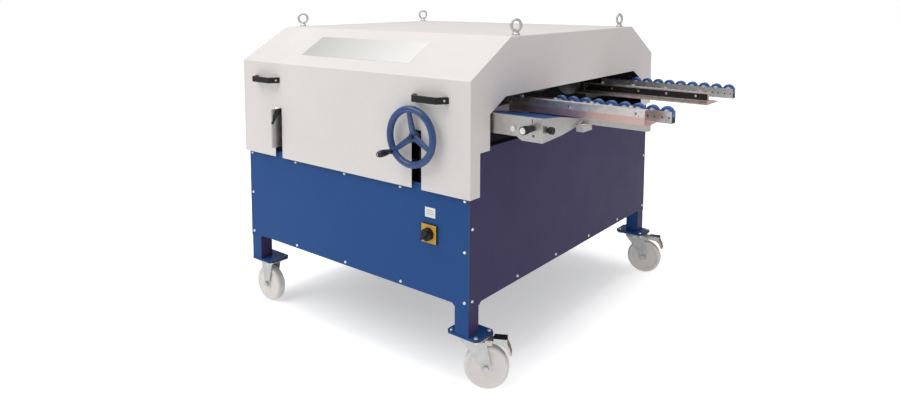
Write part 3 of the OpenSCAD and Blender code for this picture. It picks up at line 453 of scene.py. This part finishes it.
def makeNamePlate():
    # blank printed plate: brushed silver field that darkens to one side
    mat, tree, shader, coords = newMaterial("plateFace")
    split = tree.nodes.new("ShaderNodeSeparateXYZ")
    tree.links.new(coords, split.inputs["Vector"])
    fade = remap(tree, split.outputs["X"], x0 + 0.32, x0 + 0.92, 0, 1)
    brushed = noise(tree, coords, 240, 3, 0.6, (0.03, 1, 1))
    base = blendColours(tree, fade, (0.5, 0.5, 0.495), (0.84, 0.83, 0.81))
    base = blendColours(tree, remap(tree, brushed, 0.3, 0.7, 0, 0.3), base, (0.68, 0.68, 0.67))
    tree.links.new(base, shader.inputs["Base Color"])
    shader.inputs["Metallic"].default_value = 0.08
    shader.inputs["Specular IOR Level"].default_value = 0.3
    tree.links.new(remap(tree, brushed, 0.3, 0.7, 0.3, 0.44), shader.inputs["Roughness"])
    bump(tree, shader, brushed, 0.05, 0.0002)
    finish["plateFace"] = mat
    copyOf("name_plate", "namePlate", 0.0003, ("plateFace",))


makeNamePlate()


def makeEyes():
    # forged ring eye: collar, waist and ring, four times, each turned its own way
    parts = []
    neck = [(0.0045, 0.0148), (0.0075, 0.0118), (0.014, 0.0095), (0.019, 0.0085)]
    collar = rounded([(0, 0.0), (0, 0.0148), *neck, (0.019, 0.0)], 0.0016)
    for x, y, turn in hood["eyes"]:
        at = np.array([x0 + x, y0 + y, hoodHigh.z])
        a = math.radians(turn)
        across = (-math.sin(a), math.cos(a), 0)
        parts.append(turned(collar, at, (0, 0, 1), 40))
        parts.append(ringTube(at + (0, 0, 0.036), across, hood["eyeRing"], hood["eyeWire"], 56, 20))
        parts.append(turned([(-0.0195, 0), (-0.0195, 0.0055), (0, 0.006)], at, (0, 0, 1), 24))
        nut = rounded([(-0.0115, 0.006), (-0.0115, 0.0105), (-0.0018, 0.0105), (-0.0018, 0.006)], 0.001)
        parts.append(turned(nut, at, (0, 0, 1), 6))
    mesh = meshFrom(parts, "liftingEyes")
    addPiece("liftingEyes", mesh, "hood", "zinc", "zincPlating", replaces=("lifting_eyes",))


makeEyes()
copyOf("hinge_straps", "hingeStraps", 0.0004, ("zincPlating",))
copyOf("hinge_leaves", "hingeLeaves", 0.0004, ("zincPlating",))


def makeHandleScrews():
    # button heads in the handles' slanted legs
    parts = []
    button = [(-0.002, 0.0042), (0.0008, 0.0042), (0.0018, 0.003)]
    socket = [(0.0018, 0.002), (0.0006, 0.0016), (0.0006, 0)]
    head = rounded(button + socket, 0.0008)
    for x in hood["handles"]:
        for side in (-1, 1):
            lean = np.array([side * math.sin(math.radians(56)), -math.cos(math.radians(56)), 0])
            at = np.array([x0 + x + side * 0.0725, y0 - 0.0145, 1.03]) + lean * 0.0005
            parts.append(turned(head, at, lean, 24))
    addPiece("handleScrews", meshFrom(parts, "handleScrews"), "hood", "zinc", "zincPlating")


makeHandleScrews()


print("cabinet: panels, frame, label and switch")


def paintedShadeByFace(centre, normal):
    # the surfaces that face the infeed end take the darker violet painted shade and painted reflection, and the
    # bed's top takes the near-black painted shade
    if normal.z > 0.7 and centre.z > 0.6:
        return 3
    return 2 if normal.x > 0.7 else 0


# panel faces that look into the cabinet take the near-black painted shade
for node, name, inward in (("front_panel", "frontPanel", 1), ("rear_panel", "rearPanel", -1)):
    copyOf(
        node, name, 0.0007, ("cabinetPaint", "cabinetEdgeHighlightAndWear", "insidePaintedShade"), edgeSlot=1,
        paint=lambda centre, normal, inward=inward: 2 if normal.y * inward > 0.7 else 0,
    )
# the end panels take the violet painted shade and painted reflection
copyOf("end_panels", "endPanels", 0.0007, ("endPaintedShade", "endEdgeShadeHighlightAndWear"), edgeSlot=1)
frameCoats = ("cabinetPaint", "cabinetEdgeHighlightAndWear", "endPaintedShade", "insidePaintedShade")
copyOf("base_frame", "tubeFrame", 0.0025, frameCoats, 3, paint=paintedShadeByFace, edgeSlot=1)
copyOf("fasteners", "panelScrews", 0.0004, ("screwSteel",), 2)
copyOf(
    "main_switch", "switchPlate", 0.0012, ("switchYellow", "blackPlastic"), 3,
    paint=lambda centre, normal: 0 if normal.y < -0.9 else 1,
)
copyOf("switch_knob", "switchKnob", 0.0012, ("blackPlastic",), 3)


def makeLabel():
    # small rating label with ruled lines only
    mat, tree, shader, coords = newMaterial("labelPaper")
    split = tree.nodes.new("ShaderNodeSeparateXYZ")
    tree.links.new(coords, split.inputs["Vector"])
    wave = mathNode(tree, "FRACT", mathNode(tree, "MULTIPLY", split.outputs["Z"], 160.0), 0.0)
    line = mathNode(tree, "LESS_THAN", wave, 0.22)
    ink = line
    for axis, middle, half in (("X", x0 + 1.0645, 0.017), ("Z", 0.618, 0.011)):
        away = mathNode(tree, "ABSOLUTE", mathNode(tree, "SUBTRACT", split.outputs[axis], middle), 0.0)
        ink = mathNode(tree, "MULTIPLY", ink, mathNode(tree, "LESS_THAN", away, half))
    fibres = remap(tree, noise(tree, coords, 90, 3), 0.3, 0.7, 0, 1)
    paper = blendColours(tree, fibres, (0.8, 0.8, 0.79), (0.88, 0.88, 0.87))
    tree.links.new(blendColours(tree, ink, paper, (0.12, 0.12, 0.13)), shader.inputs["Base Color"])
    shader.inputs["Roughness"].default_value = 0.35
    bump(tree, shader, noise(tree, coords, 500, 2), 0.04, 0.0001)
    finish["labelPaper"] = mat
    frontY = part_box("front_panel")[0].y
    box = cappedBox((x0 + 1.041, frontY - 0.0005, 0.6), (x0 + 1.088, frontY - 0.0001, 0.636))
    addPiece("ratingLabel", meshFrom([box], "ratingLabel"), "machine", "plate_silver", "labelPaper")


makeLabel()


print("handwheel: rim, spokes, hub and grip")
wheel = {
    "rim": 0.0995,
    "tube": 0.013,
    "spokes": (96, 216, 336),
    "grip": 216,
    "gripOut": 0.1015,  # the grip's axis, from the wheel's
    "axis": (1.012, 0.89),
    "rimY": -0.029,
    "dish": 0.011,  # how far the hub stands behind the rim
}


def makeHandwheel():
    centre = np.array([x0 + wheel["axis"][0], y0 + wheel["rimY"], wheel["axis"][1]])
    parts = [ringTube(centre, (0, 1, 0), wheel["rim"], wheel["tube"], 120, 24, 0, 0.97)]
    crown = [(-0.0065, 0.0085), (-0.0055, 0.0165), (0, 0.0195), (0.009, 0.0208), (0.0158, 0.0185)]
    hub = rounded([(-0.0065, 0), *crown, (0.0158, 0)], 0.0024, 5)
    hubAt = centre + (0, wheel["dish"], 0)
    parts.append(turned(hub, hubAt, (0, 1, 0), 64))
    nut = rounded([(-0.0098, 0), (-0.0098, 0.0055), (-0.006, 0.0062)], 0.0012)
    parts.append(turned(nut, hubAt, (0, 1, 0), 6, 1))
    for a in wheel["spokes"]:
        t = math.radians(a)
        out = np.array([math.cos(t), 0, math.sin(t)])
        across = np.array([-math.sin(t), 0, math.cos(t)])
        r = np.linspace(0.006, wheel["rim"] - 0.001, 14)
        s = (r - r[0]) / (r[-1] - r[0])
        width = 0.026 - 0.0105 * s + 0.007 * np.clip((s - 0.84) / 0.16, 0, 1) ** 2
        depth = 0.0145 - 0.003 * s
        lift = np.array([0, 1, 0]) * ((wheel["dish"] + 0.003) * (1 - s) ** 1.3)[:, None]
        parts.append(swept(centre + out * r[:, None] + lift, width, depth, across, (0, 1, 0), 20, 3.2))
    t = math.radians(wheel["grip"])
    boss = centre + wheel["gripOut"] * np.array([math.cos(t), 0, math.sin(t)])
    pad = rounded([(0.009, 0), (0.009, 0.009), (-0.003, 0.0135), (-0.0129, 0.0118), (-0.0133, 0)], 0.002, 5)
    parts.append(turned(pad, boss, (0, 1, 0), 40))
    parts.append(turned([(-0.0125, 0.004), (-0.0855, 0.004), (-0.086, 0.0)], boss, (0, 1, 0), 24, 1))
    mesh = meshFrom(parts, "handwheelCasting")
    coats = ("wheelEnamel", "zincPlating")
    addPiece("handwheelCasting", mesh, "handwheel", "wheel_blue", *coats, replaces=("handwheel",))
    waist = [(-0.0139, 0.0088), (-0.019, 0.0086), (-0.03, 0.0098)]
    bulb = [(-0.046, 0.0128), (-0.062, 0.0136), (-0.076, 0.0118), (-0.0845, 0.0078)]
    grip = rounded([(-0.0139, 0.0045), *waist, *bulb, (-0.087, 0.0045)], 0.006, 6)
    mesh = meshFrom([turned(grip, boss, (0, 1, 0), 48)], "turningGrip")
    addPiece("turningGrip", mesh, "grip", "black_plastic", "gripPlastic", replaces=("handwheel_grip",))


makeHandwheel()
copyOf(
    "lead_screw", "leadScrew", 0.0004, ("machinedSteel", "darkSteel"),
    paint=lambda centre, normal: 1 if centre.y < y0 + 0.03 else 0,
)


print("casters: wheels, forks and brakes")
caster = {"radius": 0.08, "width": 0.04}


def wheelProfile():
    # half section of a solid wheel: hub, shallow dished web and a rounded tread
    half, r = caster["width"] / 2, caster["radius"]
    hub = [(-half - 0.0016, 0.00605), (-half - 0.0016, 0.0165)]
    web = [(-half + 0.0035, 0.0225), (-half + 0.0035, 0.06)]
    tread = [(-half, 0.0655), (-half, r - 0.0065), (-half + 0.007, r)]
    side = hub + web + tread
    return np.array(side + [(-a, b) for a, b in side[::-1]])


for corner in ("front_left", "rear_left", "front_right", "rear_right"):
    node = "caster_wheel_" + corner
    joint = next(j for j in frame["joints"] if j["child"] == bodyOf[node])
    centre = np.array(joint["pos_m"])
    shape = turned(rounded(wheelProfile(), 0.0035, 4), centre, joint["axis"], 96, 0, True)
    mesh = meshFrom([shape], node + "Mesh")
    name = "roller" + corner.replace("_", "")
    addPiece(name, mesh, bodyOf[node], "polyamide", "polyamide", replaces=(node,))

for node, name in (
    ("fixed_caster_forks", "fixedForks"),
    ("swivel_caster_heads", "swivelHeads"),
    ("swivel_fork_front", "frontFork"),
    ("swivel_fork_rear", "rearFork"),
):
    copyOf(node, name, 0.0008, ("zincPlating",), 2)


def makePedal(end, name):
    # plated lever with a black pad on top and a tan tip; out is measured from the kingpin along the trail
    node = "brake_pedal_" + end
    body = bodyOf[node]
    pin = next(j for j in frame["joints"] if j["child"] == body)
    centre, axis = np.array(pin["pos_m"]), np.array(pin["axis"], float)
    out = np.cross(axis, (0, 0, 1))

    def colour(c, normal):
        far = float(np.dot(np.array(c) - centre, out))
        high = c.z - centre[2]
        if far > 0.0135 and high > -0.004:
            return 1
        return 2 if far > 0.064 else 0

    copyOf(node, name, 0.0012, ("zincPlating", "blackPlastic", "tanPlastic"), 2, paint=colour)


makePedal("front", "frontPedal")
makePedal("rear", "rearPedal")


print("guides: plates, rails, skate wheels and bracket")
skate = {"radius": 0.024, "width": 0.024, "tyre": 0.0155, "count": 9}
for node, name, mat, width in (
    ("near_guide_plate", "nearGuide", "guideSheet", 0.0005),
    ("far_guide_plate", "farGuide", "galvanisedSheet", 0.0005),
    ("clamp_plate", "clampPlate", "bracketSheet", 0.0006),
    ("side_knob", "sideKnob", "blackPlastic", 0.0012),
    ("clamp_lever", "clampLever", "blackPlastic", 0.0006),
):
    copyOf(node, name, width, (mat,), 2)
for node, name in (("near_guide_rail", "nearRail"), ("far_guide_rail", "farRail")):
    copyOf(
        node, name, 0.0005, ("railMetal", "blackOxide"), 2,
        paint=lambda centre, normal: 1 if normal.x > 0.9 else 0,
    )
bracket = {"headHeight": 0.008, "grooveDrop": 0.004, "grooveLength": 0.016, "holeDrop": 0.062}


def bracketColour(centre, normal):
    # the sloping cover is painted, the hex head is bright, and the folded sheet keeps its zinc
    if 0.05 < abs(normal.y) < 0.2 and abs(normal.z) > 0.9:
        return 1
    return 2 if centre.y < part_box("guide_bracket")[0].y + bracket["headHeight"] - 0.0002 else 0


bracketCoats = ("bracketSheet", "cabinetPaint", "screwSteel")
copyOf("guide_bracket", "guideBracket", 0.0006, bracketCoats, paint=bracketColour)


def makeBracketShadeMarks():
    # narrow groove above the dial and a small threaded hole below it, both flush with the front plate and dark as
    # painted shade standing in for their depth
    low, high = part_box("dial_knob")
    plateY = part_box("guide_bracket")[0].y + bracket["headHeight"]
    x, top = (low.x + high.x) / 2, (low.z + high.z) / 2 + 0.036
    z = np.linspace(top - bracket["grooveDrop"], top - bracket["grooveDrop"] - bracket["grooveLength"], 6)
    ends = np.array([0.3, 0.85, 1, 1, 0.85, 0.3])
    path = np.stack([np.full(6, x - 0.001), np.full(6, plateY - 0.0001), z], 1)
    groove = swept(path, 0.0032 * ends, 0.0006 * ends, (1, 0, 0), (0, 1, 0), 16, 2.4)
    at = np.array([x + 0.004, plateY, top - bracket["holeDrop"]])
    rimLine = rounded([(0.0005, 0.005), (-0.0003, 0.0046), (-0.0003, 0.0032), (0.0002, 0)], 0.0004)
    hole = turned(rimLine, at, (0, 1, 0), 32)
    mesh = meshFrom([groove, hole], "bracketShadeMarks")
    addPiece("bracketShadeMarks", mesh, "machine", "black_plastic", "blackOxide")


makeBracketShadeMarks()


def makeSkates():
    # blue tyre with rounded shoulders round a pressed light hub with a bearing
    h, r, t = skate["width"] / 2, skate["radius"], skate["tyre"]
    tyreHalf = [(-h + 0.003, t - 0.002), (-h, t), (-h, r - 0.003), (-h + 0.0035, r)]
    boreEnd = [(-h - 0.001, 0.0041), (-h - 0.001, 0.0085)]
    hubHalf = boreEnd + [(-h + 0.0035, 0.0098), (-h + 0.0035, 0.0142), (-h + 0.001, t)]
    tyre = rounded(tyreHalf + [(-a, b) for a, b in tyreHalf[::-1]], 0.002)
    hub = rounded(hubHalf + [(-a, b) for a, b in hubHalf[::-1]], 0.0012, 3)
    for row in ("near", "far"):
        for i in range(skate["count"]):
            node = f"{row}_skate_{i + 1}"
            joint = next(j for j in frame["joints"] if j["child"] == node)
            at = joint["pos_m"]
            parts = [turned(tyre, at, (0, 1, 0), 48, 0, True), turned(hub, at, (0, 1, 0), 40, 1, True)]
            mesh = meshFrom(parts, node + "Mesh")
            name = f"{row}Skate{i + 1}"
            addPiece(name, mesh, node, "skate_blue", "skateTyre", "skateHub", replaces=(node,))


makeSkates()


dial = {"radius": 0.0142, "ridges": 32, "depth": 0.0004}


def makeGuideTrim():
    # the far guide's black wear strip, and the dial with its knurl and silver face
    low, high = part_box("far_guide_plate")
    strip = cappedBox((low.x + 0.01, y0 + 1.0925, 0.951), (high.x - 0.03, y0 + 1.0949, 0.978))
    addPiece("farStrip", meshFrom([strip], "farStrip"), "far_stand", "black_plastic", "blackPlastic")
    dialLow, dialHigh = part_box("dial_knob")
    centre = np.array([(dialLow.x + dialHigh.x) / 2, dialLow.y, (dialLow.z + dialHigh.z) / 2])
    r, long = dial["radius"], dialHigh.y - dialLow.y - 0.006
    gripping = [(0, 0), (0, r - 0.0016), (0.0016, r), (0.024, r), (0.026, r - 0.0018)]
    neck = [(long, r - 0.0022), (long, 0.008), (long + 0.0058, 0.008), (long + 0.0058, 0)]
    section = gripping + neck
    pts, quads, slotIndex = turned(rounded(section, 0.0008, 3), centre, (0, 1, 0), dial["ridges"] * 6)
    # knurl: the radius swells and sinks as a cosine of the angle, most at the gripping end
    away = pts - centre
    angle = np.arctan2(away[:, 2], away[:, 0])
    size = np.hypot(away[:, 0], away[:, 2])
    rise = dial["depth"] * np.cos(dial["ridges"] * angle) * (size > r - 0.001)
    pts[:, 0] += rise * np.cos(angle)
    pts[:, 2] += rise * np.sin(angle)
    knob = meshFrom([(pts, quads, slotIndex)], "dialKnob")
    addPiece("dialKnob", knob, "dial_knob", slotOf["dial_knob"], "blackPlastic", replaces=("dial_knob",))
    face = rounded([(0.001, r - 0.003), (-0.0001, r - 0.003), (-0.0005, r - 0.0042), (-0.0005, 0.0)], 0.0003)
    mesh = meshFrom([turned(face, centre, (0, 1, 0), 48)], "dialFace")
    addPiece("dialFace", mesh, "dial_knob", "zinc", "screwSteel")


makeGuideTrim()


print("inside: stands, rolls, rods and drive")
for node, name, mat in (
    ("near_roll_stand", "nearStand", "blackOxide"),
    ("near_rolls", "nearRolls", "machinedSteel"),
    ("far_roll_stand", "farStand", "blackOxide"),
    ("far_rolls", "farRolls", "machinedSteel"),
    ("guide_rods", "guideRods", "machinedSteel"),
    ("screw_bearings", "screwBearings", "primedCasting"),
    ("gear_motor", "gearMotor", "primedCasting"),
):
    copyOf(node, name, 0.0008, (mat,), 2)


print("stage: floor, lights and camera")


def makeFloor():
    mat, tree, shader, coords = newMaterial("floorPaint")
    base = blendColours(tree, noise(tree, coords, 3, 2), (0.97, 0.97, 0.97), (0.99, 0.99, 0.99))
    split = tree.nodes.new("ShaderNodeSeparateXYZ")
    tree.links.new(coords, split.inputs["Vector"])
    # the floor's glow is lower within 0.24 m of the machine's footprint: a painted shadow under and round the
    # machine
    squares = []
    for axis, centre, half in (("X", x0 + 0.625, 0.56), ("Y", y0 + 0.76, 0.66)):
        away = mathNode(tree, "ABSOLUTE", mathNode(tree, "SUBTRACT", split.outputs[axis], centre), 0.0)
        away = mathNode(tree, "MAXIMUM", mathNode(tree, "SUBTRACT", away, half), 0.0)
        squares.append(mathNode(tree, "MULTIPLY", away, away))
    reach = mathNode(tree, "SQRT", mathNode(tree, "ADD", *squares), 0.0)
    glowWithPaintedShadow = remap(tree, reach, 0.0, 0.24, stage["paintedShadowGlow"], stage["farGlow"])
    tree.links.new(base, shader.inputs["Base Color"])
    shader.inputs["Roughness"].default_value = 0.9
    shader.inputs["Specular IOR Level"].default_value = 0.0
    shader.inputs["Emission Color"].default_value = (1, 1, 1, 1)
    path = tree.nodes.new("ShaderNodeLightPath")
    bounced = remap(tree, path.outputs["Is Camera Ray"], 0, 1, stage["floorBounce"], 0)
    seen = mathNode(tree, "MULTIPLY", path.outputs["Is Camera Ray"], glowWithPaintedShadow)
    glow = mathNode(tree, "ADD", bounced, seen)
    tree.links.new(glow, shader.inputs["Emission Strength"])
    mesh = bpy.data.meshes.new("floor")
    mesh.from_pydata([(-40, -40, 0), (40, -40, 0), (40, 40, 0), (-40, 40, 0)], [], [(0, 1, 2, 3)])
    mesh.materials.append(mat)
    obj = bpy.data.objects.new("floor", mesh)
    bpy.context.scene.collection.objects.link(obj)


def areaLight(name, place, target, size, power, colour=(1, 1, 1)):
    light = bpy.data.lights.new(name, "AREA")
    light.shape = "RECTANGLE"
    light.size, light.size_y = size
    light.energy = power
    light.color = colour
    obj = bpy.data.objects.new(name, light)
    bpy.context.scene.collection.objects.link(obj)
    place, target = np.array(place, float), np.array(target, float)
    d = target - place
    obj.location = place
    obj.rotation_euler = (math.atan2(math.hypot(d[0], d[1]), -d[2]), 0, math.atan2(-d[0], d[1]))
    return obj


stage = {
    # floor glow in the painted shadow near the machine, then on the open floor further out
    "paintedShadowGlow": 0.4,
    "farGlow": 0.7,
    "floorBounce": 0.12,
    "skyForObject": 0.5,
    "skySeen": 1.0,
    "keyPower": 88,
    "topPower": 70,
    "fillPower": 7,
    "lens": 27.99,
    "eye": (2.6112, -1.8552, 1.3864),
    "yaw": 39.475,
    "dip": 5.498,
    "shift": (0.0203, -0.1524),
}


def makeStage():
    makeFloor()
    areaLight("keyLight", (-1.9, -3.4, 4.2), (0, 0, 0.7), (3.2, 3.2), stage["keyPower"])
    areaLight("topLight", (0.2, -0.3, 4.6), (0, 0, 0.9), (4, 4), stage["topPower"])
    warm = (1.0, 0.9, 0.92)
    areaLight("fillLight", (4.2, -1.5, 2.2), (0.4, 0, 0.8), (2.5, 2.5), stage["fillPower"], warm)
    world = bpy.data.worlds.new("studio")
    bpy.context.scene.world = world
    world.use_nodes = True
    tree = world.node_tree
    back = tree.nodes["Background"]
    back.inputs["Color"].default_value = (1, 1, 1, 1)
    path = tree.nodes.new("ShaderNodeLightPath")
    strength = tree.nodes.new("ShaderNodeMapRange")
    strength.inputs["To Min"].default_value = stage["skyForObject"]
    strength.inputs["To Max"].default_value = stage["skySeen"]
    tree.links.new(path.outputs["Is Camera Ray"], strength.inputs["Value"])
    tree.links.new(strength.outputs["Result"], back.inputs["Strength"])
    bpy.context.scene.view_settings.view_transform = "Standard"
    cam = bpy.data.cameras.new("mainView")
    cam.lens = stage["lens"]
    cam.sensor_width = 36
    cam.shift_x, cam.shift_y = stage["shift"]
    obj = bpy.data.objects.new("mainView", cam)
    bpy.context.scene.collection.objects.link(obj)
    ex, ey, ez = stage["eye"]
    obj.location = (x0 + ex, y0 + ey, ez)
    obj.rotation_euler = (math.radians(90 - stage["dip"]), 0, math.radians(stage["yaw"]))
    bpy.context.scene.camera = obj


makeStage()

print("done")
